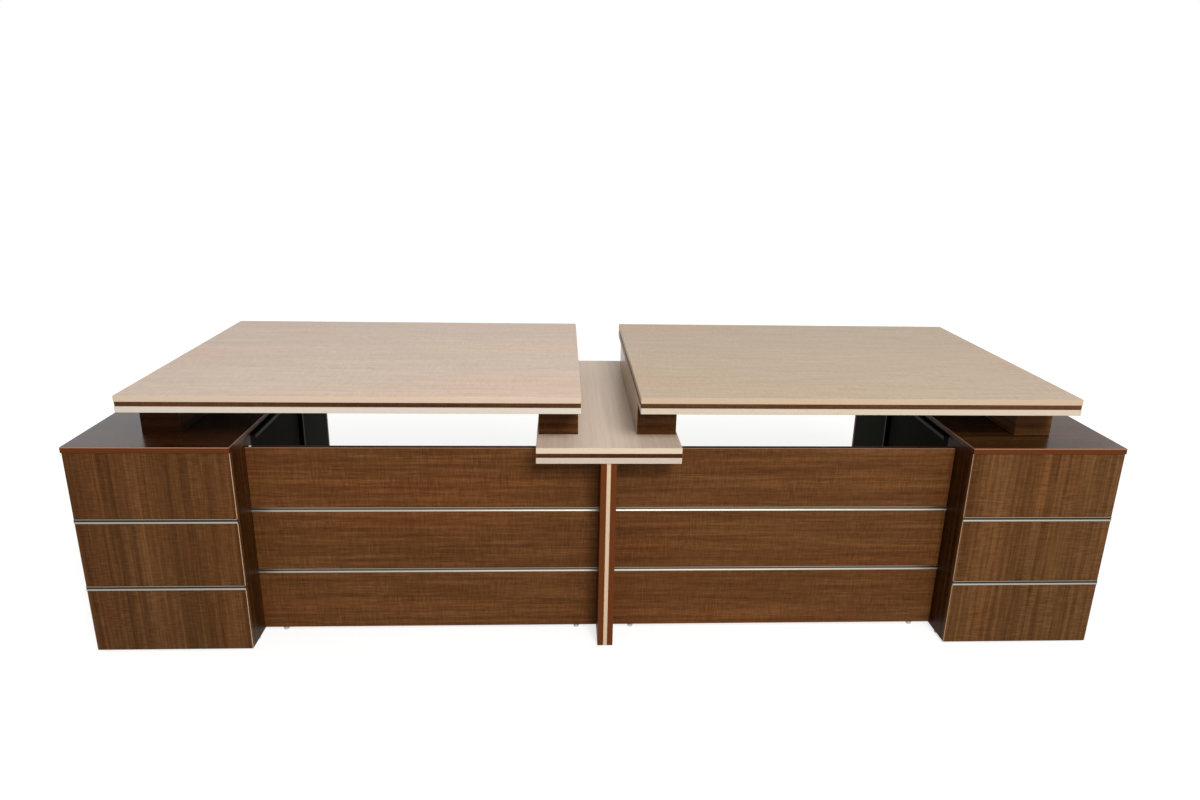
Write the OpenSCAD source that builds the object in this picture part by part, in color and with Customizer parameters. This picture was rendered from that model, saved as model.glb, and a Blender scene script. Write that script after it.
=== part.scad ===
// Double desk for two people, facing each other's side: two layered tops stand on riser blocks
// over a central shelf and a cabinet at each end. X runs along the desk, the visitor side is -Y,
// the users sit at +Y, and the origin is under the middle of the whole desk.

/* [Desk] */
// Overall width across the two cabinet slabs
overall_w = 2800; // [2740:10:2900]
// Height of the working surface
desk_h = 750; // [720:5:780]
// Depth of the slabs and of the central shelf
base_d = 890; // [860:5:940]
// Thickness of every board
board = 16; // [15:1:18]
// Bevel along the edge banding
ease = 0.8; // [0.4:0.1:1.2]

/* [Layered edge] */
// Thickness of the dark board inside a top
insert_t = 12; // [8:1:15]
// How far the dark board stands back from the edge
insert_in = 1; // [0.5:0.5:4]

/* [Tops] */
// Length of each top
top_len = 1156; // [1110:2:1190]
// Depth of each top
top_d = 870; // [820:5:880]
// Clear gap between the two tops
top_gap = 152; // [120:2:162]
// How far the tops reach past the slabs towards the visitor
top_reach = 28; // [10:1:60]

/* [Risers] */
// Width of a riser block on the central shelf
riser_w = 108; // [70:1:110]
// Width of a riser block on a slab
side_riser_w = 102; // [80:1:130]
// How far the side risers reach past the tops' outer ends
side_riser_out = 10; // [0:1:20]
// Height of a riser block
riser_h = 103; // [80:1:130]
// Length of a riser block
riser_len = 675; // [500:5:720]
// Set-back of the risers from the slabs' front edge
riser_set = 105; // [60:5:140]
// Set-back of the centre risers from the shelf's side edges
riser_in = 4.5; // [0:0.5:9]

/* [Shelf and leg] */
// Width of the central shelf
shelf_w = 385; // [380:5:450]
// Thickness of the light board inside the leg
leg_core_t = 11; // [8:1:18]
// Set-back of the leg under the shelf, at both ends
leg_set = 5; // [0:1:40]
// Height of the glides under the leg
leg_lift = 3; // [2:1:10]
// Distance of the leg's glides from its ends
leg_glide_in = 30; // [20:1:80]

/* [Modesty panels] */
// Set-back of the modesty panels from the cabinets' fronts
modesty_set = 100; // [40:5:120]
// Clearance under the modesty panels
modesty_lift = 10; // [8:1:30]
// How far the modesty panels reach past the shelf's underside, beside the shelf
modesty_rise = 6; // [2:1:12]
// Gap between a modesty panel's notch and the shelf's side edge
notch_gap = 0.5; // [0.5:0.5:2]
// Distance of a modesty panel's glides from its ends
modesty_glide_in = 58; // [30:1:120]

/* [Trim strips] */
// Height of an aluminium strip
strip_h = 12; // [8:1:16]
// How far a strip stands proud of its board
strip_proud = 2.5; // [1.5:0.5:4]
// Depth of the groove that holds a strip
strip_seat = 4; // [2:0.5:6]
// Clearance above and below a strip in its groove
strip_play = 0.1; // [0.05:0.05:0.3]
// Height of the narrow lip along a strip's top
strip_lip = 1.4; // [0.8:0.2:2]
// Height of the flat nose along a strip's foot
strip_nose = 1.6; // [0.8:0.2:2.4]

/* [Cabinets] */
// Width of a cabinet under its slab
cabinet_w = 420; // [400:5:480]
// Overhang of a slab at the front, back and outer side
slab_lip = 2; // [0:1:10]
// Overhang of a slab on the users' side
slab_lip_in = 1; // [0:1:6]
// Height of the glides under a cabinet
cabinet_lift = 6; // [4:1:20]
// Height of the bottom board above the side boards' lower edge
bottom_rise = 24; // [18:1:28]
// How far the fixed stile reaches from the visitor side
stile_reach = 150; // [140:5:170]
// Clear width of the drawer bay
drawer_bay = 402; // [380:1:420]
// Gap between the doors or drawer fronts and the carcass edges behind them
front_gap = 3; // [2.5:0.5:5]
// Slit between neighbouring fronts
slit = 3; // [2:0.5:4]
// Height of the fronts' lower edge above the side boards' lower edge
front_rise = 16; // [12:1:20]
// Gap between the fronts' upper edge and the slab
front_drop = 4; // [3:0.5:8]
// Distance of a cabinet's glides from its corners
glide_in = 60; // [40:1:80]

/* [Drawers] */
// Gap between a closed tray's back and the side board
tray_back = 20; // [10:1:60]
// Height of a drawer tray
tray_h = 125; // [90:1:140]
// Height of a tray above the lower edge of its front
tray_rise = 30; // [28:1:34]
// Thickness of the trays' and runners' sheet steel
sheet = 1.5; // [1:0.1:2]
// Space for a runner on each side of a tray
runner_space = 12.5; // [12:0.5:16]
// How far the rolled bead on a tray's side stands out
bead_out = 8; // [6:0.5:9]
// Height of the rolled bead
bead_h = 18; // [12:1:24]
// Height of the bead above the tray's underside
bead_rise = 20; // [10:1:30]
// Clearance between a bead and its runner
runner_play = 0.3; // [0.2:0.1:0.5]
// Clearance between a runner's flanges and the tray's side
runner_side = 2; // [1:0.5:4]
// Fitting gap between the sheets of a tray
sheet_fit = 0.1; // [0.05:0.05:0.3]
// Gap between a fixed runner's back and the side board
runner_back = 10; // [5:1:15]
// Width of the rim folded out along a tray's top
rim_out = 5; // [3:1:8]

/* [Pulls] */
// Thickness of the aluminium pull profile
pull_t = 1.6; // [1.2:0.2:2.4]
// How far a pull stands out of its front
pull_reach = 13; // [12:1:18]
// Depth of a pull's turned lip
pull_drop = 11; // [10:1:14]
// Outer radius where a pull turns
pull_r = 4; // [3:0.5:5]

/* [Doors] */
// Radius of a door's pivot pins
pin_r = 3; // [2:0.5:4]
// Radial clearance of the pins in the door
pin_play = 0.05; // [0.03:0.01:0.1]
// Length of a pin inside the door
pin_len = 12; // [8:1:16]
// Distance from the pivots' axis to the door's hinge edge
heel = 6; // [5:0.5:7]
// Gap between the door's hinge edge and the end board
hinge_gap = 5; // [5:0.5:8]
// Thickness of a pivot plate
plate_t = 1.5; // [1:0.1:2]
// Length of a pivot plate
plate_len = 21; // [18:1:24]
// Gap between a pivot plate and the door
pivot_gap = 2; // [1.5:0.5:3]
// How far the washer that carries a door reaches past its pin
washer_rim = 2; // [1:0.5:3]
// Clearance between a washer and the door
washer_play = 0.2; // [0.1:0.1:0.5]

/* [Glides] */
// Radius of a glide
glide_r = 7.5; // [6:0.5:7.5]
// Height of a glide's disc where it stands on a stem
glide_disc = 6; // [4:1:7]
// Radius of a glide's stem
glide_stem_r = 4; // [3:0.5:5]
// Bevel round a glide's foot
glide_ease = 1; // [0.5:0.25:1.5]

/* [Hidden] */
$fn = 48;
eps = 0.01;
LEFT = -1;
RIGHT = 1;
dark_wood = "#5c3a22";
light_wood = "#cdbba8";
graphite = "#3a3b3c";
metal = "#c9cacb";
steel = "#8d9092";
plastic = "#d8d8d4";

// Levels, from the top down
layers_t = 2 * board + insert_t;
top_z0 = desk_h - layers_t;
base_z1 = top_z0 - riser_h;
slab_z0 = base_z1 - board;
shelf_z0 = base_z1 - layers_t;
modesty_z1 = shelf_z0 + modesty_rise;

// Depth positions, with the whole desk centred on the origin
top_y0 = -(base_d + top_reach) / 2;
base_y0 = top_y0 + top_reach;
base_y1 = base_y0 + base_d;
face_y = base_y0 + slab_lip;
back_y = base_y1 - slab_lip;
riser_y0 = base_y0 + riser_set;
leg_y0 = base_y0 + leg_set;
leg_y1 = base_y1 - leg_set;
modesty_y = face_y + modesty_set;
stile_y1 = face_y + stile_reach;
bay_y1 = stile_y1 + drawer_bay;
fronts_split = bay_y1 + board / 2;
drawer_y0 = stile_y1 + slit / 2;
drawer_y1 = fronts_split - slit / 2;
door_y0 = fronts_split + slit / 2;
door_y1 = back_y - board - hinge_gap;

// Positions along the desk, for the right half
top_x0 = top_gap / 2;
top_x1 = top_x0 + top_len;
outer_x = overall_w / 2 - slab_lip;
inner_x = outer_x - cabinet_w;
fronts_back_x = inner_x + board;
carcass_x0 = fronts_back_x + front_gap;
side_x0 = outer_x - board;
leg_half = board + leg_core_t / 2;

// Two strips part a panel that reaches from z0 to z1 in three equal fields
function strip_levels(z0, z1) =
    let (field_h = (z1 - z0 - 2 * strip_h) / 3) [z0 + field_h, z1 - field_h - strip_h];
cabinet_strip_z = strip_levels(cabinet_lift, slab_z0);
modesty_strip_z = strip_levels(modesty_lift, modesty_z1);

// Heights of the fronts, each with its pull on top
drawers = 3;
bottom_z0 = cabinet_lift + bottom_rise;
front_z0 = cabinet_lift + front_rise;
front_z1 = slab_z0 - front_drop;
front_pitch = (front_z1 - front_z0 + slit) / drawers;
function front_low(i) = front_z0 + i * front_pitch;
function front_high(i) = front_low(i) + front_pitch - slit;

// Drawer trays, centred in their bay, and their fixed runners
tray_d = side_x0 - tray_back - fronts_back_x;
runner_len = side_x0 - runner_back - carcass_x0;
tray_w = drawer_bay - 2 * runner_space;
tray_y0 = stile_y1 + runner_space;
function tray_z0(i) = front_low(i) + tray_rise;

// Pivot axis of a door
pivot_x = inner_x + board / 2;
pivot_y = door_y1 - heel;

// Everything is drawn for the right half and mirrored for the left
module half(side) {
    if (side == LEFT) mirror([1, 0, 0]) children();
    else children();
}

module eased_rect(a, b) {
    polygon([[ease, 0], [a - ease, 0], [a, ease], [a, b - ease],
             [a - ease, b], [ease, b], [0, b - ease], [0, ease]]);
}

// A board with all its edges bevelled, from its lowest corner to its highest
module panel(low, high) {
    size = high - low;
    translate(low) intersection() {
        linear_extrude(size.z) eased_rect(size.x, size.y);
        translate([0, size.y, 0]) rotate([90, 0, 0])
            linear_extrude(size.y) eased_rect(size.x, size.z);
        rotate([90, 0, 90]) linear_extrude(size.x) eased_rect(size.y, size.z);
    }
}

// A hidden board with plain edges
module block(low, high) {
    translate(low) cube(high - low);
}

// Tops
module top_layer(side, z0, thickness, inset, tone) {
    color(tone) half(side)
        panel([top_x0 + inset, top_y0 + inset, z0],
              [top_x1 - inset, top_y0 + top_d - inset, z0 + thickness]);
}
module top_board(side) { top_layer(side, desk_h - board, board, 0, light_wood); }
module top_insert(side) { top_layer(side, top_z0 + board, insert_t, insert_in, dark_wood); }
module top_base(side) { top_layer(side, top_z0, board, 0, light_wood); }

// Central shelf, with the same layered edge
module shelf_layer(z0, thickness, inset, tone) {
    color(tone)
        panel([-shelf_w / 2 + inset, base_y0 + inset, z0],
              [shelf_w / 2 - inset, base_y1 - inset, z0 + thickness]);
}
module shelf_upper() { shelf_layer(base_z1 - board, board, 0, light_wood); }
module shelf_insert() { shelf_layer(shelf_z0 + board, insert_t, insert_in, dark_wood); }
module shelf_lower() { shelf_layer(shelf_z0, board, 0, light_wood); }

// The leg is a thin light board between two dark ones
module leg_layer(x0, x1, tone) {
    color(tone) panel([x0, leg_y0, leg_lift], [x1, leg_y1, shelf_z0]);
}
module leg_board(side) { half(side) leg_layer(leg_core_t / 2, leg_half, dark_wood); }
module leg_core() { leg_layer(-leg_core_t / 2, leg_core_t / 2, light_wood); }

// Riser blocks
module riser(side, x1, width) {
    color(dark_wood) half(side)
        panel([x1 - width, riser_y0, base_z1], [x1, riser_y0 + riser_len, top_z0]);
}
module centre_riser(side) { riser(side, shelf_w / 2 - riser_in, riser_w); }
module side_riser(side) { riser(side, top_x1 + side_riser_out, side_riser_w); }

// Extruded aluminium strip: a thin lip above, a shadow channel and a sloped foot
module strip_section() {
    recess = 0.5;
    polygon([[-strip_seat, 0], [strip_proud, 0], [strip_proud, strip_nose],
             [recess, strip_h / 2], [recess, strip_h - strip_lip - recess],
             [strip_proud - recess, strip_h - strip_lip], [strip_proud - recess, strip_h],
             [-strip_seat, strip_h]]);
}

// A strip from x0 to x1 on a board whose face is at y
module strip(x0, x1, y, z0) {
    translate([x0, y, z0]) rotate([90, 0, 90]) linear_extrude(x1 - x0)
        mirror([1, 0]) strip_section();
}

module strip_grooves(x0, x1, y, levels) {
    for (z0 = levels)
        translate([x0 - eps, y - eps, z0 - strip_play])
            cube([x1 - x0 + 2 * eps, strip_seat + eps, strip_h + 2 * strip_play]);
}

module cabinet_strips() {
    color(metal) for (side = [LEFT, RIGHT], z0 = cabinet_strip_z)
        half(side) strip(inner_x, outer_x, face_y, z0);
}
module modesty_strips() {
    color(metal) for (side = [LEFT, RIGHT], z0 = modesty_strip_z)
        half(side) strip(leg_half, inner_x, modesty_y, z0);
}

// Modesty panel between the leg and a cabinet, notched round the shelf
module modesty(side) {
    color(dark_wood) half(side) difference() {
        panel([leg_half, modesty_y, modesty_lift], [inner_x, modesty_y + board, modesty_z1]);
        strip_grooves(leg_half, inner_x, modesty_y, modesty_strip_z);
        block([leg_half - eps, modesty_y - eps, shelf_z0],
              [shelf_w / 2 + notch_gap, modesty_y + board + eps, modesty_z1 + eps]);
    }
}

// Cabinet boards
module slab(side) {
    color(dark_wood) half(side)
        panel([inner_x - slab_lip_in, base_y0, slab_z0], [outer_x + slab_lip, base_y1, base_z1]);
}
module front_panel(side) {
    color(dark_wood) half(side) difference() {
        panel([inner_x, face_y, cabinet_lift], [outer_x, face_y + board, slab_z0]);
        strip_grooves(inner_x, outer_x, face_y, cabinet_strip_z);
    }
}
module end_panel(side) {
    color(dark_wood) half(side)
        panel([inner_x, back_y - board, cabinet_lift], [outer_x, back_y, slab_z0]);
}
module side_panel(side) {
    color(dark_wood) half(side)
        panel([side_x0, face_y + board, cabinet_lift], [outer_x, back_y - board, slab_z0]);
}
module stile(side) {
    color(dark_wood) half(side)
        panel([inner_x, face_y + board, cabinet_lift], [fronts_back_x, stile_y1, slab_z0]);
}
module bottom(side) {
    color(dark_wood) half(side)
        block([carcass_x0, face_y + board, bottom_z0],
              [side_x0, back_y - board, bottom_z0 + board]);
}
module dividers(side) {
    floor_z = bottom_z0 + board;
    color(dark_wood) half(side) {
        block([fronts_back_x, stile_y1 - board, floor_z], [side_x0, stile_y1, slab_z0]);
        block([carcass_x0, bay_y1, floor_z], [side_x0, bay_y1 + board, slab_z0]);
    }
}

// Fixed runner: a channel round a tray's bead, drawn for the bay's far side
module runner_section() {
    depth = runner_space - runner_side;
    gap = bead_h + 2 * runner_play;
    difference() {
        translate([-depth, -sheet]) square([depth, gap + 2 * sheet]);
        translate([-depth - eps, 0]) square([depth - sheet + eps, gap]);
    }
}

// Children are drawn at the bay's far side, and once more mirrored at its near side
module both_bay_sides() {
    middle = stile_y1 + drawer_bay / 2;
    children();
    translate([0, middle, 0]) mirror([0, 1, 0]) translate([0, -middle, 0]) children();
}

module runners(side) {
    color(steel) half(side) for (i = [0 : drawers - 1]) both_bay_sides()
        translate([carcass_x0, bay_y1, tray_z0(i) + bead_rise - runner_play])
            rotate([90, 0, 90]) linear_extrude(runner_len) runner_section();
}

// Formed side of a tray: foot, hollow bead, wall and folded rim
module tray_side_section() {
    top = tray_h;
    b0 = bead_rise;
    b1 = bead_rise + bead_h;
    out = sheet + bead_out;
    polygon([[0, 0], [sheet, 0], [sheet, b0], [out, b0], [out, b1], [sheet, b1],
             [sheet, top - sheet], [sheet + rim_out, top - sheet], [sheet + rim_out, top],
             [0, top], [0, b1 - sheet], [out - sheet, b1 - sheet],
             [out - sheet, b0 + sheet], [0, b0 + sheet]]);
}

module drawer_tray(side, i) {
    x0 = fronts_back_x;
    x1 = x0 + tray_d;
    y1 = tray_y0 + tray_w;
    z0 = tray_z0(i);
    in_y0 = tray_y0 + sheet + sheet_fit;
    in_y1 = y1 - sheet - sheet_fit;
    color(steel) half(side) {
        block([x0, in_y0, z0], [x1, in_y1, z0 + sheet]);
        both_bay_sides() translate([x0, y1 - sheet, z0])
            rotate([90, 0, 90]) linear_extrude(tray_d) tray_side_section();
        for (x = [x0, x1 - sheet])
            block([x, in_y0, z0 + sheet + sheet_fit], [x + sheet, in_y1, z0 + tray_h]);
    }
}

module drawer_front(side, i) {
    color(graphite) half(side)
        panel([inner_x, drawer_y0, front_low(i)],
              [fronts_back_x, drawer_y1, front_high(i) - pull_t]);
}

// Pull profile: a plate over the board's edge, a round turn and a lip.
// The lip starts at 0 and the plate's outer face is at 0
module pull_section() {
    reach = pull_reach + board;
    translate([pull_r, -pull_t]) square([reach - pull_r, pull_t]);
    translate([pull_r, -pull_r]) intersection() {
        difference() {
            circle(pull_r);
            circle(pull_r - pull_t);
        }
        translate([-pull_r, 0]) square(pull_r);
    }
    translate([0, -pull_drop]) square([pull_t, pull_drop - pull_r]);
}

module drawer_pull(side, i) {
    color(metal) half(side)
        translate([inner_x - pull_reach, drawer_y1, front_high(i)]) rotate([90, 0, 0])
            linear_extrude(drawer_y1 - drawer_y0) pull_section();
}

module door(side) {
    bore_d = pin_len + pivot_gap;
    color(graphite) half(side) difference() {
        panel([inner_x, door_y0 + pull_t, front_z0], [fronts_back_x, door_y1, front_z1]);
        for (z0 = [front_z0 - eps, front_z1 - bore_d + eps])
            translate([pivot_x, pivot_y, z0]) cylinder(h = bore_d, r = pin_r + pin_play);
    }
}

module door_pull(side) {
    color(metal) half(side)
        translate([inner_x - pull_reach, door_y0, front_z0]) linear_extrude(front_z1 - front_z0)
            mirror([0, 1]) pull_section();
}

// Pivots: a cranked plate on the end board below a door, and a flat plate under the slab above it.
// The lower one has a washer that carries the door
module lower_pivot() {
    y1 = back_y - board;
    z1 = front_z0 - pivot_gap;
    block([inner_x, y1 - plate_len, z1 - plate_t], [fronts_back_x, y1, z1]);
    block([inner_x, y1 - plate_t, cabinet_lift + pivot_gap], [fronts_back_x, y1, z1]);
    translate([pivot_x, pivot_y, z1 - plate_t / 2]) {
        cylinder(h = plate_t / 2 + pivot_gap + pin_len, r = pin_r);
        cylinder(h = plate_t / 2 + pivot_gap - washer_play, r = pin_r + washer_rim);
    }
}
module upper_pivot() {
    y1 = back_y - board;
    tip_z = front_z1 - pin_len;
    block([inner_x, y1 - plate_len, slab_z0 - plate_t], [fronts_back_x, y1, slab_z0]);
    translate([pivot_x, pivot_y, tip_z])
        cylinder(h = slab_z0 - plate_t / 2 - tip_z, r = pin_r);
}
module door_pivots() {
    color(steel) for (side = [LEFT, RIGHT]) half(side) {
        union() lower_pivot();
        union() upper_pivot();
    }
}

// A glide under a board whose lower edge is at height h
module glide(x, y, h) {
    disc = min(h, glide_disc);
    translate([x, y, 0]) rotate_extrude()
        polygon(concat([[0, 0], [glide_r - glide_ease, 0], [glide_r, glide_ease], [glide_r, disc]],
                       h > disc ? [[glide_stem_r, disc], [glide_stem_r, h]] : [], [[0, h]]));
}
module glides() {
    mid = board / 2;
    cabinet_feet = [[inner_x + mid, face_y + glide_in], [outer_x - mid, face_y + glide_in],
                    [inner_x + glide_in, back_y - mid], [outer_x - mid, back_y - glide_in]];
    color(plastic) {
        for (y = [leg_y0 + leg_glide_in, leg_y1 - leg_glide_in]) glide(0, y, leg_lift);
        for (side = [LEFT, RIGHT]) half(side) {
            for (x = [leg_half + modesty_glide_in, inner_x - modesty_glide_in])
                glide(x, modesty_y + mid, modesty_lift);
            for (foot = cabinet_feet) glide(foot.x, foot.y, cabinet_lift);
        }
    }
}

top_board(LEFT);  // top_left
top_insert(LEFT);  // top_insert_left
top_base(LEFT);  // top_base_left
top_board(RIGHT);  // top_right
top_insert(RIGHT);  // top_insert_right
top_base(RIGHT);  // top_base_right
shelf_upper();
shelf_insert();
shelf_lower();
leg_board(LEFT);  // leg_left
leg_core();
leg_board(RIGHT);  // leg_right
centre_riser(LEFT);  // centre_riser_left
centre_riser(RIGHT);  // centre_riser_right
side_riser(LEFT);  // side_riser_left
side_riser(RIGHT);  // side_riser_right
modesty(LEFT);  // modesty_left
modesty(RIGHT);  // modesty_right
modesty_strips();
cabinet_strips();
slab(LEFT);  // slab_left
front_panel(LEFT);  // front_panel_left
side_panel(LEFT);  // side_panel_left
end_panel(LEFT);  // end_panel_left
bottom(LEFT);  // bottom_left
dividers(LEFT);  // dividers_left
stile(LEFT);  // stile_left
runners(LEFT);  // runners_left
slab(RIGHT);  // slab_right
front_panel(RIGHT);  // front_panel_right
side_panel(RIGHT);  // side_panel_right
end_panel(RIGHT);  // end_panel_right
bottom(RIGHT);  // bottom_right
dividers(RIGHT);  // dividers_right
stile(RIGHT);  // stile_right
runners(RIGHT);  // runners_right
drawer_front(LEFT, 0);  // drawer_front_left_1
drawer_tray(LEFT, 0);  // drawer_tray_left_1
drawer_pull(LEFT, 0);  // drawer_pull_left_1
drawer_front(LEFT, 1);  // drawer_front_left_2
drawer_tray(LEFT, 1);  // drawer_tray_left_2
drawer_pull(LEFT, 1);  // drawer_pull_left_2
drawer_front(LEFT, 2);  // drawer_front_left_3
drawer_tray(LEFT, 2);  // drawer_tray_left_3
drawer_pull(LEFT, 2);  // drawer_pull_left_3
drawer_front(RIGHT, 0);  // drawer_front_right_1
drawer_tray(RIGHT, 0);  // drawer_tray_right_1
drawer_pull(RIGHT, 0);  // drawer_pull_right_1
drawer_front(RIGHT, 1);  // drawer_front_right_2
drawer_tray(RIGHT, 1);  // drawer_tray_right_2
drawer_pull(RIGHT, 1);  // drawer_pull_right_2
drawer_front(RIGHT, 2);  // drawer_front_right_3
drawer_tray(RIGHT, 2);  // drawer_tray_right_3
drawer_pull(RIGHT, 2);  // drawer_pull_right_3
door(LEFT);  // door_left
door_pull(LEFT);  // door_pull_left
door(RIGHT);  // door_right
door_pull(RIGHT);  // door_pull_right
door_pivots();
glides();
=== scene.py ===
"""Looks of the double desk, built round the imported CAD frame."""

import math

import bpy
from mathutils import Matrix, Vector


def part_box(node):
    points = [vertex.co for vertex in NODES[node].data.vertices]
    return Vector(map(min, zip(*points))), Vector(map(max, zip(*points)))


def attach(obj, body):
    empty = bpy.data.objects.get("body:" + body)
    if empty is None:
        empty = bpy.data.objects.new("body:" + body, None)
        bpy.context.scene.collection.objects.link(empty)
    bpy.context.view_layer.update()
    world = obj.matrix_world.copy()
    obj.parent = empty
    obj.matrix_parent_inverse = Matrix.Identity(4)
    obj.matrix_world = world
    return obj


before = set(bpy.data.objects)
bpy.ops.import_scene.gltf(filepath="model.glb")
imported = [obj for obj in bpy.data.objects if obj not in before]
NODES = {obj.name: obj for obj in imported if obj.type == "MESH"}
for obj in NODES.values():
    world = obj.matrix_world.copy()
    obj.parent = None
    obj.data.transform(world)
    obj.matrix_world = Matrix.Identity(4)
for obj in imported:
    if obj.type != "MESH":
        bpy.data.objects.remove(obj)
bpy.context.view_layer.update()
SIDES = ("left", "right")
DRAWERS = (1, 2, 3)
X, Y, Z = 0, 1, 2

# Grain directions, as noise scale factors along X, Y and Z: 0 runs with the grain, 1 across it
GRAIN_X = (0, 1, 1)
GRAIN_Y = (1, 0, 1)
GRAIN_Z = (1, 1, 0)
GRAIN_LEVEL = (0, 0, 1)

# Sockets of the colour Mix node
MIX_FACTOR = 0
MIX_A = 6
MIX_B = 7
MIX_RESULT = 2

NOISE_MEAN = 0.5
BLACK = (0, 0, 0, 1)
WHITE = (1, 1, 1, 1)


def srgb(r, g, b):
    """A linear colour from 0 to 255 display values."""
    def linear(v):
        v /= 255
        return v / 12.92 if v <= 0.04045 else ((v + 0.055) / 1.055) ** 2.4
    return (linear(r), linear(g), linear(b), 1.0)


def fill_ramp(node, stops):
    """Gives a colour ramp its stops, each a position and a colour."""
    elements = node.color_ramp.elements
    while len(elements) < len(stops):
        elements.new(0.5)
    for element, (position, colour) in zip(elements, stops):
        element.position = position
        element.color = colour


class Shader:
    """A material's node tree, with short names for the nodes used here."""

    def __init__(self, name):
        self.material = bpy.data.materials.new(name)
        self.material.use_nodes = True
        self.tree = self.material.node_tree
        self.bsdf = self.tree.nodes["Principled BSDF"]
        self.coords = self.node("ShaderNodeTexCoord")

    def node(self, kind, **values):
        """A new node of that kind, with its own settings."""
        made = self.tree.nodes.new(kind)
        for key, value in values.items():
            setattr(made, key, value)
        return made

    def put(self, socket, value):
        """Links another node's output to a socket, or sets the socket's own value."""
        if isinstance(value, bpy.types.NodeSocket):
            self.tree.links.new(value, socket)
        else:
            socket.default_value = value

    def set(self, **values):
        """Fills the surface shader's inputs, each named with _ for a space."""
        for key, value in values.items():
            self.put(self.bsdf.inputs[key.replace("_", " ")], value)

    def math(self, operation, a, b=0.0, c=0.0):
        """The result of a Math node."""
        made = self.node("ShaderNodeMath", operation=operation)
        for socket, value in zip(made.inputs, (a, b, c)):
            self.put(socket, value)
        return made.outputs[0]

    def noise(self, scale, offset=(0, 0, 0), detail=2.0, roughness=0.5, distortion=0.0):
        """Noise in the object's own space, scaled on each axis."""
        place = self.node("ShaderNodeMapping", vector_type="POINT")
        self.put(place.inputs["Vector"], self.coords.outputs["Object"])
        place.inputs["Scale"].default_value = scale
        place.inputs["Location"].default_value = offset
        made = self.node("ShaderNodeTexNoise", noise_dimensions="3D")
        self.put(made.inputs["Vector"], place.outputs[0])
        made.inputs["Scale"].default_value = 1.0
        made.inputs["Detail"].default_value = detail
        made.inputs["Roughness"].default_value = roughness
        made.inputs["Distortion"].default_value = distortion
        return made.outputs["Fac"]

    def ramp(self, value, stops):
        """A colour by a value, through a colour ramp."""
        made = self.node("ShaderNodeValToRGB")
        fill_ramp(made, stops)
        self.put(made.inputs[0], value)
        return made.outputs[0]

    def mix(self, fac, a, b, mode="MIX"):
        """Two colours mixed by a factor."""
        made = self.node("ShaderNodeMix", data_type="RGBA", blend_type=mode)
        self.put(made.inputs[MIX_FACTOR], fac)
        self.put(made.inputs[MIX_A], a)
        self.put(made.inputs[MIX_B], b)
        return made.outputs[MIX_RESULT]

    def bump(self, height, distance):
        """A relief of that height map, its full height in metres."""
        made = self.node("ShaderNodeBump")
        made.inputs["Distance"].default_value = distance
        made.inputs["Strength"].default_value = 1.0
        self.put(made.inputs["Height"], height)
        self.put(self.bsdf.inputs["Normal"], made.outputs[0])

    def axis(self, index, source="Object"):
        """One axis of the surface point, or of its normal, in the piece's own space."""
        made = self.node("ShaderNodeSeparateXYZ")
        self.put(made.inputs[0], self.coords.outputs[source])
        return made.outputs[index]

    def varied_roughness(self, noise, middle, spread):
        """Roughness that a noise moves about its middle value."""
        self.set(Roughness=self.math("MULTIPLY_ADD", noise, spread, middle - spread * NOISE_MEAN))

    def apply(self, *names):
        """Gives the material to CAD nodes."""
        for name in names:
            data = NODES[name].data
            data.materials.clear()
            data.materials.append(self.material)


def grained(grain, along, across):
    """Noise scales for a grain: along it and across it, in features a metre."""
    return tuple(across if axis else along for axis in grain)


# Woodgrain: scales along and across the grain, in features a metre
FIGURE_SCALE = (0.6, 20.0)
STREAK_ACROSS = 95.0
FIBRE_SCALE = (20.0, 380.0)
CROSS_ACROSS = 30.0
PATCH_SCALE = (7.0, 16.0)
TINT_SCALE = (0.8, 5.0)
SEED_SHIFT = (3.7, 1.9, 5.3)
STREAK_SHARE = 0.46
FIBRE_AND_FIGURE_SHARE = 0.54
TONE_STOPS = (0.36, 0.5, 0.64)
TINT_STOPS = ((0.45, BLACK), (0.65, WHITE))
FIBRE_ROUGHNESS = 0.16
CROSS_RELIEF = 0.6
GRAIN_RELIEF = 0.00012


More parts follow.
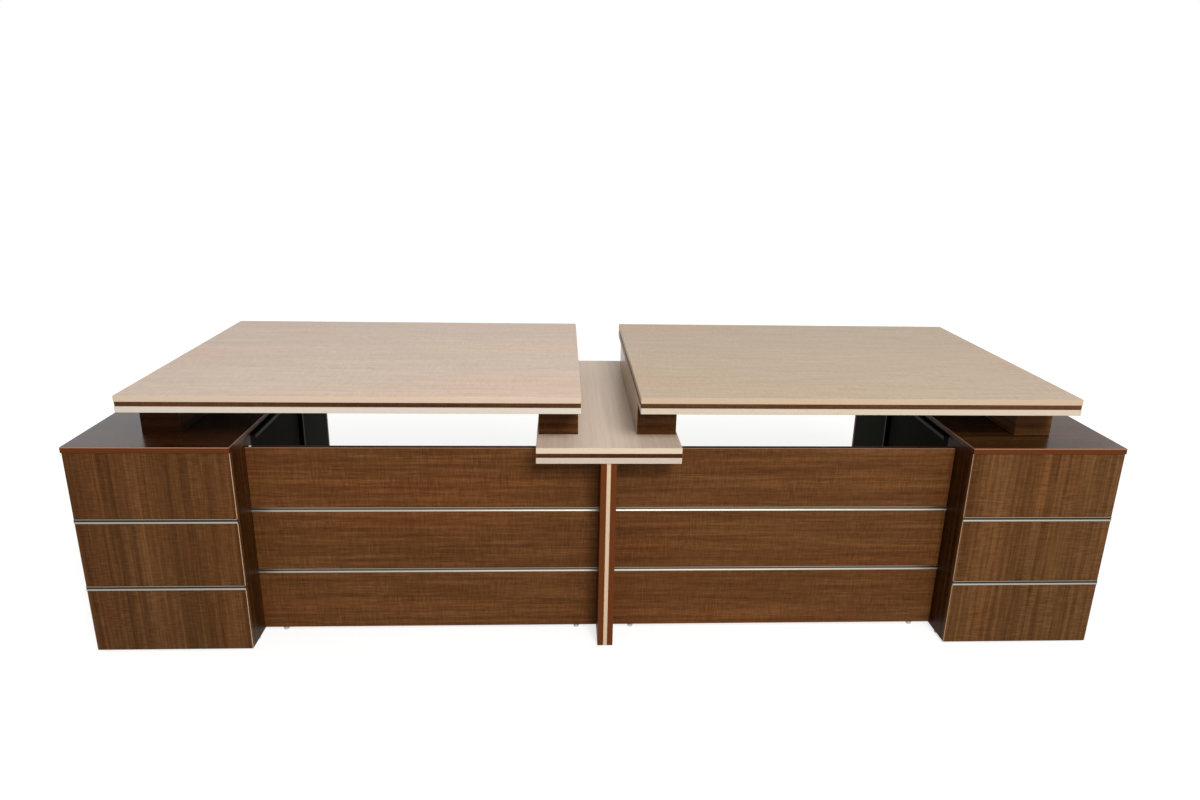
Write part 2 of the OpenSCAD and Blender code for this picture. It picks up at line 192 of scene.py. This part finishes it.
def laminate(name, grain, tones, seed, roughness, contrast=1.0, weave=0.2, tint=None, specular=0.04,
             wide=0.3, streak_along=1.3, cross_along=260.0):
    """Woodgrain laminate: wide figure, streaks, fine fibres and an embossed cross weave."""
    s = Shader(name)
    shift = tuple(step * seed for step in SEED_SHIFT)
    figure = s.noise(grained(grain, *FIGURE_SCALE), shift, distortion=0.4)
    streak = s.noise(grained(grain, streak_along, STREAK_ACROSS), shift, detail=3.0, roughness=0.6)
    fibre = s.noise(grained(grain, *FIBRE_SCALE), shift, roughness=0.6)
    cross = s.noise(grained(grain, cross_along, CROSS_ACROSS), shift, roughness=0.6)
    patch = s.noise(grained(grain, *PATCH_SCALE), shift, detail=1.0)
    strength = s.math("MULTIPLY", patch, weave / NOISE_MEAN)
    weave_here = s.math("MULTIPLY", s.math("SUBTRACT", cross, NOISE_MEAN), strength)
    tone = s.math("MULTIPLY", figure, wide)
    tone = s.math("MULTIPLY_ADD", streak, STREAK_SHARE, tone)
    tone = s.math("MULTIPLY_ADD", fibre, FIBRE_AND_FIGURE_SHARE - wide, tone)
    tone = s.math("ADD", tone, weave_here)
    tone = s.math("MULTIPLY_ADD", s.math("SUBTRACT", tone, NOISE_MEAN), contrast, NOISE_MEAN)
    s.colour = s.ramp(tone, tuple(zip(TONE_STOPS, tones)))
    if tint is not None:
        hue = s.noise(grained(grain, *TINT_SCALE), (seed, 2 * seed, -seed), detail=1.0)
        s.colour = s.mix(s.ramp(hue, TINT_STOPS), s.colour, tint, "MULTIPLY")
    s.varied_roughness(fibre, roughness, FIBRE_ROUGHNESS)
    s.bsdf.inputs["Specular IOR Level"].default_value = specular
    s.bump(s.math("ADD", fibre, s.math("MULTIPLY", cross, CROSS_RELIEF)), GRAIN_RELIEF)
    s.set(Base_Color=s.colour)
    return s


def edge_band_and_painted_light(s, mask, colour):
    """Repaints the masked part of a surface: a board's edge band, a painted highlight, a painted reflection
    or painted shade.
    """
    s.colour = s.mix(mask, s.colour, colour)
    s.set(Base_Color=s.colour)
    return s


def glossy(s, mask, weight, roughness):
    """A clear gloss on the masked part of a laminate."""
    s.put(s.bsdf.inputs["Coat Weight"], s.math("MULTIPLY", mask, weight))
    s.bsdf.inputs["Coat Roughness"].default_value = roughness
    return s


def side_mask(s, axis=Z, limit=0.5):
    """1 where the surface faces away from that axis of the piece's own space."""
    facing = s.math("ABSOLUTE", s.axis(axis, "Normal"))
    return s.math("LESS_THAN", facing, limit)


def facing_mask(s, axis, limit=0.5):
    """1 where the surface faces along that axis of the piece's own space."""
    facing = s.math("ABSOLUTE", s.axis(axis, "Normal"))
    return s.math("GREATER_THAN", facing, limit)


def near_mask(s, axis, level, width):
    """1 within a width of a plane across that axis."""
    away = s.math("ABSOLUTE", s.math("SUBTRACT", s.axis(axis), level))
    return s.math("LESS_THAN", away, width)


# Colours of the laminates, each as its dark, middle and light tone
# Painted shade: the left cabinet's walnut is a little darker than the right's, the same laminate in less
# light
WALNUT = {"left": (srgb(56, 33, 14), srgb(86, 56, 30), srgb(115, 80, 49)),
          "right": (srgb(60, 36, 15), srgb(90, 59, 31), srgb(118, 82, 49))}
WALNUT_LEVEL = (srgb(60, 33, 14), srgb(92, 57, 29), srgb(122, 82, 48))
# A darker copy of the walnut: painted shade on the right stile and on the left side riser; the legs' boards
# take it too
WALNUT_DEEP = (srgb(30, 14, 4), srgb(52, 27, 10), srgb(76, 44, 20))
# Painted shade: the stiles are darker copies of the walnut, the left one a little lighter than the right
STILE_SHADE_TONES = {"left": (srgb(36, 18, 6), srgb(64, 36, 14), srgb(90, 55, 27)), "right": WALNUT_DEEP}
# Painted shade: the left risers' tones are darker than the right's, the same laminate in less light
RISER_TONES = {"left": (srgb(49, 26, 9), srgb(80, 48, 23), srgb(109, 72, 42)),
               "right": (srgb(54, 30, 12), srgb(87, 54, 28), srgb(118, 81, 49))}
# Painted shade: the left slab's tones are darker than the right's, the same laminate in less light
SLAB_TONES = {"left": (srgb(26, 12, 4), srgb(46, 23, 9), srgb(68, 39, 18)),
              "right": (srgb(42, 24, 9), srgb(65, 40, 18), srgb(88, 59, 30))}
# Painted shade: the right top's tones are darker and yellower than the left's, the same laminate in less
# light
LIGHT = {"left": (srgb(186, 164, 146), srgb(203, 182, 164), srgb(217, 198, 181)),
         "right": (srgb(167, 145, 122), srgb(185, 164, 140), srgb(200, 181, 158))}
LIGHT_SHELF = (srgb(184, 165, 147), srgb(203, 184, 166), srgb(217, 200, 183))
INSERT_TONES = (srgb(52, 28, 14), srgb(72, 43, 25), srgb(92, 60, 38))

# Colours of the edge bands; and painted light: highlights where a band's corner catches the light, a painted
# reflection on the centre risers' sides, painted shade on the modesty panels' top faces
# Painted shade: the right top's edge bands are darker than the left's, as its tones are
TOP_EDGES = {"left": srgb(200, 178, 157), "right": srgb(189, 165, 140)}
BASE_EDGES = {"left": srgb(203, 192, 178), "right": srgb(195, 181, 161)}
SHELF_EDGE = srgb(208, 189, 165)
SHELF_BASE_EDGE = srgb(190, 175, 158)
LEG_EDGE = srgb(96, 49, 21)
CORE_EDGE = srgb(200, 176, 148)
RISER_SIDE_REFLECTION = srgb(158, 127, 92)
MODESTY_BEVEL_HIGHLIGHT = srgb(134, 104, 85)
MODESTY_TOP_SHADE = srgb(56, 36, 26)
SLAB_EDGE = srgb(92, 47, 20)
SLAB_SIDE_EDGE = srgb(70, 37, 17)
SLAB_RIM_HIGHLIGHT = srgb(160, 114, 86)
CORNER_HIGHLIGHT = {"left": srgb(190, 158, 128), "right": srgb(168, 136, 106)}

# Widths in metres of the painted highlights and painted shade
CORNER_WIDTH = 0.0014
RIM_WIDTH = 0.0022
BEVEL_WIDTH = 0.0019
TOP_FACE_WIDTH = 0.0002
STEEP = 0.9

# Gloss, as coat weight and coat roughness
RISER_GLOSS = {"centre": (0.6, 0.26), "side": (0.36, 0.32)}
SLAB_GLOSS = {"left": (0.54, 0.27), "right": (0.16, 0.27)}

# Each laminate's finish, and the seed that its boards count from
RED_TINT = (1.04, 0.94, 0.86, 1)
WARM_TINT = (1.04, 0.98, 0.93, 1)
SATIN = 0.12
TOP = dict(roughness=0.4, contrast=0.62, weave=0.28, tint=WARM_TINT, specular=SATIN, wide=0.1,
           streak_along=5.0, cross_along=120.0)
TOP_BASE = dict(roughness=0.5, contrast=0.5, weave=0.1, specular=SATIN)
INSERT = dict(roughness=0.5)
SHELF = dict(roughness=0.38, contrast=0.55, weave=0.1, specular=SATIN)
SHELF_BASE = dict(roughness=0.5, contrast=0.6, weave=0.1, specular=SATIN)
LEG = dict(roughness=0.4)
CORE = dict(roughness=0.45)
RISER = dict(roughness=0.36, contrast=0.9, weave=0.12)
MODESTY = dict(roughness=0.42, contrast=0.62, weave=0.28, tint=RED_TINT, wide=0.19, streak_along=3.0)
FRONT = dict(roughness=0.42, contrast=0.8, weave=0.28, tint=RED_TINT)
BOARD = dict(roughness=0.42, contrast=1.1, weave=0.25)
INSIDE = dict(roughness=0.5)
SLAB = dict(roughness=0.24, weave=0.1)
SEEDS = {"top": 1, "top_base": 4, "insert": 6, "shelf": 7, "shelf_base": 8, "leg": 9, "core": 11,
         "riser": 12, "modesty": 17, "front": 21, "board": 27, "inside": 36, "slab": 38}

# Tops, with their grain along the desk
for number, side in enumerate(SIDES):
    top = laminate(f"top_{side}_laminate", GRAIN_X, LIGHT[side], SEEDS["top"] + number, **TOP)
    edge_band_and_painted_light(top, side_mask(top), TOP_EDGES[side]).apply(f"top_{side}")
    base = laminate(f"top_base_{side}_laminate", GRAIN_X, LIGHT[side], SEEDS["top_base"] + number, **TOP_BASE)
    edge_band_and_painted_light(base, side_mask(base), BASE_EDGES[side]).apply(f"top_base_{side}")
insert = laminate("insert_board", GRAIN_LEVEL, INSERT_TONES, SEEDS["insert"], **INSERT)
insert.apply("top_insert_left", "top_insert_right", "shelf_insert")

# Centre shelf, with its grain from front to back
shelf = laminate("shelf_laminate", GRAIN_Y, LIGHT_SHELF, SEEDS["shelf"], **SHELF)
edge_band_and_painted_light(shelf, side_mask(shelf), SHELF_EDGE).apply("shelf_upper")
shelf_base = laminate("shelf_base_laminate", GRAIN_Y, LIGHT_SHELF, SEEDS["shelf_base"], **SHELF_BASE)
edge_band_and_painted_light(shelf_base, side_mask(shelf_base), SHELF_BASE_EDGE).apply("shelf_lower")

# Leg
for number, name in enumerate(("leg_left", "leg_right")):
    leg = laminate(f"{name}_laminate", GRAIN_Z, WALNUT_DEEP, SEEDS["leg"] + number, **LEG)
    edge_band_and_painted_light(leg, facing_mask(leg, Y), LEG_EDGE).apply(name)
core = laminate("leg_core_laminate", GRAIN_Z, LIGHT["left"], SEEDS["core"], **CORE)
edge_band_and_painted_light(core, facing_mask(core, Y), CORE_EDGE).apply("leg_core")

# Risers, with level grain all round
for number, place in enumerate(("centre", "side")):
    for order, side in enumerate(SIDES):
        name = f"{place}_riser_{side}"
        # Painted shade: the left side riser takes the darker walnut, and the left centre riser its side's
        # darker tones
        tones = WALNUT_DEEP if name == "side_riser_left" else RISER_TONES[side]
        seed = SEEDS["riser"] + 2 * number + order
        riser = laminate(f"{name}_laminate", GRAIN_LEVEL, tones, seed, **RISER)
        # Painted reflection: the centre risers' sides, facing along X, are painted light brown
        if place == "centre":
            edge_band_and_painted_light(riser, facing_mask(riser, X), RISER_SIDE_REFLECTION)
        glossy(riser, facing_mask(riser, X), *RISER_GLOSS[place]).apply(name)

# Modesty panels, with a painted highlight along the top bevel and painted shade on the top face
for number, side in enumerate(SIDES):
    node = f"modesty_{side}"
    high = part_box(node)[1].z
    panel = laminate(f"{node}_laminate", GRAIN_X, WALNUT_LEVEL, SEEDS["modesty"] + 2 * number, **MODESTY)
    # Painted highlight: a light line along the top edge
    edge_band_and_painted_light(panel, near_mask(panel, Z, high, BEVEL_WIDTH), MODESTY_BEVEL_HIGHLIGHT)
    # Painted shade: the top face is painted dark
    edge_band_and_painted_light(panel, near_mask(panel, Z, high, TOP_FACE_WIDTH), MODESTY_TOP_SHADE).apply(node)

# Cabinets
for number, side in enumerate(SIDES):
    low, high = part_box(f"front_panel_{side}")
    inner = high.x if side == "left" else low.x
    front = laminate(f"front_{side}_laminate", GRAIN_Z, WALNUT[side], SEEDS["front"] + 3 * number, **FRONT)
    # Painted highlight: a thin light line down the front panel's inner corner
    corner = front.math("MULTIPLY", near_mask(front, X, inner, CORNER_WIDTH),
                        near_mask(front, Y, low.y, CORNER_WIDTH))
    edge_band_and_painted_light(front, corner, CORNER_HIGHLIGHT[side]).apply(f"front_panel_{side}")
    for order, name in enumerate(("side_panel", "end_panel", "stile")):
        # Painted shade: the stiles take the darker tones
        tones = STILE_SHADE_TONES[side] if name == "stile" else WALNUT[side]
        seed = SEEDS["board"] + 4 * number + order
        board = laminate(f"{name}_{side}_laminate", GRAIN_Z, tones, seed, **BOARD)
        board.apply(f"{name}_{side}")
    inside = laminate(f"inside_{side}_laminate", GRAIN_Y, WALNUT[side], SEEDS["inside"] + number, **INSIDE)
    inside.apply(f"bottom_{side}", f"dividers_{side}")
    slab = laminate(f"slab_{side}_laminate", GRAIN_X, SLAB_TONES[side], SEEDS["slab"] + number, **SLAB)
    glossy(slab, facing_mask(slab, Z), *SLAB_GLOSS[side])
    edge_band_and_painted_light(slab, side_mask(slab), SLAB_EDGE)
    edge_band_and_painted_light(slab, facing_mask(slab, X, STEEP), SLAB_SIDE_EDGE)
    slab_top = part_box(f"slab_{side}")[1].z
    # Painted highlight: a light line along the top of the slab's edges
    rim = slab.math("MULTIPLY", side_mask(slab, Z, STEEP), near_mask(slab, Z, slab_top, RIM_WIDTH))
    edge_band_and_painted_light(slab, rim, SLAB_RIM_HIGHLIGHT).apply(f"slab_{side}")

# Graphite fronts of the drawers and doors, with a fine pebble in features a metre
# The fronts' near-black tone is partly the graphite's own colour and partly painted shade of the space
# beneath the tops
GRAPHITE_STOPS = ((0.35, srgb(25, 25, 20)), (0.65, srgb(34, 34, 28)))
GRAPHITE_SCALE = 260
GRAPHITE_ROUGHNESS = 0.6
GRAPHITE_SPREAD = 0.2
GRAPHITE_SPECULAR = 0.006
GRAPHITE_RELIEF = 0.00008
for number, side in enumerate(SIDES):
    graphite = Shader(f"graphite_{side}")
    pebble = graphite.noise((GRAPHITE_SCALE,) * 3, (number, 0, 0), detail=3.0, roughness=0.6)
    graphite.set(Base_Color=graphite.ramp(pebble, GRAPHITE_STOPS))
    graphite.varied_roughness(pebble, GRAPHITE_ROUGHNESS, GRAPHITE_SPREAD)
    graphite.bsdf.inputs["Specular IOR Level"].default_value = GRAPHITE_SPECULAR
    graphite.bump(pebble, GRAPHITE_RELIEF)
    graphite.apply(f"door_{side}", *[f"drawer_front_{side}_{i}" for i in DRAWERS])

# Specks of the moulded and coated surfaces, in features a metre
SPECK_STOPS = (0.3, 0.7)
PLASTIC_SPECK = 900
COATING_SPECK = 700


def speckled(name, scale, dark, light, roughness=0.5, relief=None):
    """A moulded or coated surface with a fine speck."""
    s = Shader(name)
    speck = s.noise((scale,) * 3, detail=1.0)
    s.set(Base_Color=s.ramp(speck, tuple(zip(SPECK_STOPS, (dark, light)))), Roughness=roughness)
    if relief is not None:
        s.bump(speck, relief)
    return s


# A small domed cover cap on the left modesty panel's top edge, beside the stile
CAP_RADIUS = 0.0035
CAP_HEIGHT = 0.002
CAP_FROM_STILE = 0.012
CAP_STEPS = 24
CAP_RINGS = ((1.0, 0.0), (0.9, 0.6), (0.6, 0.9))


def dome(radius, height, rings, steps):
    """A closed round dome's points and faces, from rings of shares of its radius and height."""
    points = []
    for reach, rise in rings:
        for step in range(steps):
            turn = math.tau * step / steps
            points.append((radius * reach * math.cos(turn), radius * reach * math.sin(turn), height * rise))
    points.append((0, 0, height))
    faces = []
    for ring in range(len(rings) - 1):
        for step in range(steps):
            a = ring * steps + step
            b = ring * steps + (step + 1) % steps
            faces.append((a, b, b + steps, a + steps))
    last = (len(rings) - 1) * steps
    for step in range(steps):
        faces.append((last + step, last + (step + 1) % steps, len(points) - 1))
    faces.append(tuple(reversed(range(steps))))
    return points, faces


cap_points, cap_faces = dome(CAP_RADIUS, CAP_HEIGHT, CAP_RINGS, CAP_STEPS)
cap_mesh = bpy.data.meshes.new("cam_cap")
cap_mesh.from_pydata(cap_points, [], cap_faces)
cap = bpy.data.objects.new("cam_cap", cap_mesh)
low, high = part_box("modesty_left")
cap.location = (low.x + CAP_FROM_STILE, (low.y + high.y) / 2, high.z)
bpy.context.scene.collection.objects.link(cap)
cap_plastic = speckled("cap_plastic", PLASTIC_SPECK, srgb(222, 216, 206), srgb(232, 227, 218))
cap_mesh.materials.append(cap_plastic.material)
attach(cap, "desk")

# Metals, with drawn lines in features a metre
LINE_STOPS = (0.3, 0.7)
LINE_ALONG = 3.0
LINE_SHADE = 0.86
LINE_SPREAD = 0.18
LINE_OFFSET = (0.3, 0.7, 0.1)
FINE_LINES = 900
COARSE_LINES = 300


def metal(name, colour, roughness, streaks, grain):
    """Satin metal with fine drawn lines."""
    s = Shader(name)
    line = s.noise(grained(grain, LINE_ALONG, streaks), LINE_OFFSET, roughness=0.6)
    shade = tuple(LINE_SHADE * v for v in colour[:3]) + (1,)
    s.colour = s.ramp(line, tuple(zip(LINE_STOPS, (shade, colour))))
    s.set(Base_Color=s.colour, Metallic=1.0)
    s.varied_roughness(line, roughness, LINE_SPREAD)
    return s


# Aluminium strips: each one's channel, between two heights above its foot, is painted darker as shade
ALUMINIUM = srgb(168, 161, 148)
CHANNEL_SHADES = {"modesty_strips": srgb(80, 72, 63), "cabinet_strips": srgb(50, 49, 46)}
STRIP_HEIGHT = 0.012
CHANNEL_LOW = 0.0044
CHANNEL_HIGH = 0.0104
BELOW_STRIP = 0.0001
TRIM_ROUGHNESS = 0.38
for node, channel_shade in CHANNEL_SHADES.items():
    low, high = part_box(node)
    pitch = high.z - low.z - STRIP_HEIGHT
    trim = metal(f"{node}_aluminium", ALUMINIUM, TRIM_ROUGHNESS, FINE_LINES, GRAIN_X)
    local = trim.math("MODULO", trim.math("SUBTRACT", trim.axis(Z), low.z - BELOW_STRIP), pitch)
    channel = trim.math("MULTIPLY", trim.math("GREATER_THAN", local, CHANNEL_LOW),
                        trim.math("LESS_THAN", local, CHANNEL_HIGH))
    edge_band_and_painted_light(trim, channel, channel_shade).apply(node)

# Pulls, runners, pivots, trays and glides
PULL_BLACK = srgb(11, 11, 10)
PULL_ROUGHNESS = 0.6
ZINC = srgb(176, 179, 182)
ZINC_ROUGHNESS = 0.38
COATING_RELIEF = 0.00005
GLIDE_ROUGHNESS = 0.55
pulls = metal("drawer_pull_black", PULL_BLACK, PULL_ROUGHNESS, FINE_LINES, GRAIN_Y)
door_pulls = metal("door_pull_black", PULL_BLACK, PULL_ROUGHNESS, FINE_LINES, GRAIN_Z)
runner = metal("runner_zinc", ZINC, ZINC_ROUGHNESS, COARSE_LINES, GRAIN_X)
runner.apply("runners_left", "runners_right", "door_pivots")
tray = speckled("tray_coating", COATING_SPECK, srgb(138, 141, 144), srgb(150, 153, 156),
                relief=COATING_RELIEF)
for side in SIDES:
    door_pulls.apply(f"door_pull_{side}")
    for i in DRAWERS:
        pulls.apply(f"drawer_pull_{side}_{i}")
        tray.apply(f"drawer_tray_{side}_{i}")
plastic = speckled("glide_plastic", PLASTIC_SPECK, srgb(196, 194, 188), srgb(210, 208, 202),
                   roughness=GLIDE_ROUGHNESS)
plastic.apply("glides")


# Floor and white surroundings
def white_for_view(tree, shader, light):
    """Mixes a shader with plain light where the camera, a mirror or glass looks at it."""
    path = tree.nodes.new("ShaderNodeLightPath")
    seen = path.outputs["Is Camera Ray"]
    for other in ("Is Glossy Ray", "Is Transmission Ray"):
        either = tree.nodes.new("ShaderNodeMath")
        either.operation = "MAXIMUM"
        tree.links.new(seen, either.inputs[0])
        tree.links.new(path.outputs[other], either.inputs[1])
        seen = either.outputs[0]
    mix = tree.nodes.new("ShaderNodeMixShader")
    tree.links.new(seen, mix.inputs[0])
    tree.links.new(shader, mix.inputs[1])
    tree.links.new(light, mix.inputs[2])
    return mix.outputs[0]


# The floor's own glow by the distance from the desk, in metres: it makes up for the lamps' fall-off
FLOOR_GLOW = ((0.0, 1.42), (2.0, 1.46), (2.8, 1.6), (5.0, 1.7), (9.0, 1.75), (14.0, 1.78))
GLOW_REACH = FLOOR_GLOW[-1][0]
GLOW_SHARE = 0.5
FLOOR_COLOUR = (0.82, 0.82, 0.81, 1)
FLOOR_ROUGHNESS = 0.9
FLOOR_HALF = 40.0


def floor_material():
    """A pale floor that the camera sees as white where no shadow falls."""
    material = bpy.data.materials.new("floor_pale")
    material.use_nodes = True
    tree = material.node_tree
    bsdf = tree.nodes["Principled BSDF"]
    bsdf.inputs["Base Color"].default_value = FLOOR_COLOUR
    bsdf.inputs["Roughness"].default_value = FLOOR_ROUGHNESS
    away = tree.nodes.new("ShaderNodeVectorMath")
    away.operation = "LENGTH"
    tree.links.new(tree.nodes.new("ShaderNodeTexCoord").outputs["Object"], away.inputs[0])
    near = tree.nodes.new("ShaderNodeMath")
    near.operation = "DIVIDE"
    near.inputs[1].default_value = GLOW_REACH
    tree.links.new(away.outputs["Value"], near.inputs[0])
    level = tree.nodes.new("ShaderNodeValToRGB")
    fill_ramp(level, [(distance / GLOW_REACH, (glow, glow, glow, 1)) for distance, glow in FLOOR_GLOW])
    tree.links.new(near.outputs[0], level.inputs[0])
    glow_light = tree.nodes.new("ShaderNodeEmission")
    tree.links.new(level.outputs[0], glow_light.inputs["Color"])
    part = tree.nodes.new("ShaderNodeMixShader")
    part.inputs[0].default_value = GLOW_SHARE
    tree.links.new(bsdf.outputs[0], part.inputs[1])
    tree.links.new(glow_light.outputs[0], part.inputs[2])
    surface = white_for_view(tree, bsdf.outputs[0], part.outputs[0])
    tree.links.new(surface, tree.nodes["Material Output"].inputs["Surface"])
    return material


floor_mesh = bpy.data.meshes.new("floor")
corners = ((-1, -1), (1, -1), (1, 1), (-1, 1))
floor_mesh.from_pydata([(x * FLOOR_HALF, y * FLOOR_HALF, 0) for x, y in corners], [], [(0, 1, 2, 3)])
floor_mesh.materials.append(floor_material())
floor = bpy.data.objects.new("floor", floor_mesh)
bpy.context.scene.collection.objects.link(floor)

AMBIENT_COLOUR = (1, 0.99, 0.97, 1)
AMBIENT_STRENGTH = 0.26
world = bpy.data.worlds.new("studio")
bpy.context.scene.world = world
world.use_nodes = True
studio = world.node_tree
ambient = studio.nodes["Background"]
ambient.inputs["Color"].default_value = AMBIENT_COLOUR
ambient.inputs["Strength"].default_value = AMBIENT_STRENGTH
white = studio.nodes.new("ShaderNodeBackground")
white.inputs["Color"].default_value = WHITE
white.inputs["Strength"].default_value = 1.0
around = white_for_view(studio, ambient.outputs[0], white.outputs[0])
studio.links.new(around, studio.nodes["World Output"].inputs["Surface"])


def area_light(name, place, target, size, power):
    """A round lamp, turned to its target."""
    data = bpy.data.lights.new(name, "AREA")
    data.shape = "DISK"
    data.size = size
    data.energy = power
    lamp = bpy.data.objects.new(name, data)
    lamp.location = place
    lamp.rotation_euler = (Vector(target) - Vector(place)).to_track_quat("-Z", "Y").to_euler()
    bpy.context.scene.collection.objects.link(lamp)


# Lamps: name, place, target, size in metres and power in watts
LAMPS = (("key", (1.0, -4.8, 4.0), (0, 0, 0.5), 1.9, 290),
         ("overhead", (0, -0.4, 4.6), (0, 0, 0.7), 3.0, 30),
         ("fill_left", (-5.4, 3.6, 1.5), (0, 0.4, 0.4), 1.4, 60),
         ("fill_right", (5.4, 3.6, 1.5), (0, 0.4, 0.4), 1.4, 60))
for lamp_facts in LAMPS:
    area_light(*lamp_facts)

# Camera, fitted to the photograph's edges and corners: lens and sensor in millimetres, its place in
# metres and its turns in degrees
SENSOR_WIDTH = 36.0
LENS = 25.0627
CAMERA_PLACE = (-0.12981, -2.47283, 1.38259)
CAMERA_TURNS = (72.4274, -1.0564, -2.5322)
camera = bpy.data.objects.new("camera", bpy.data.cameras.new("camera"))
camera.data.sensor_fit = "HORIZONTAL"
camera.data.sensor_width = SENSOR_WIDTH
camera.data.lens = LENS
camera.location = CAMERA_PLACE
camera.rotation_euler = [math.radians(a) for a in CAMERA_TURNS]
bpy.context.scene.collection.objects.link(camera)
bpy.context.scene.camera = camera
bpy.context.scene.view_settings.view_transform = "Standard"
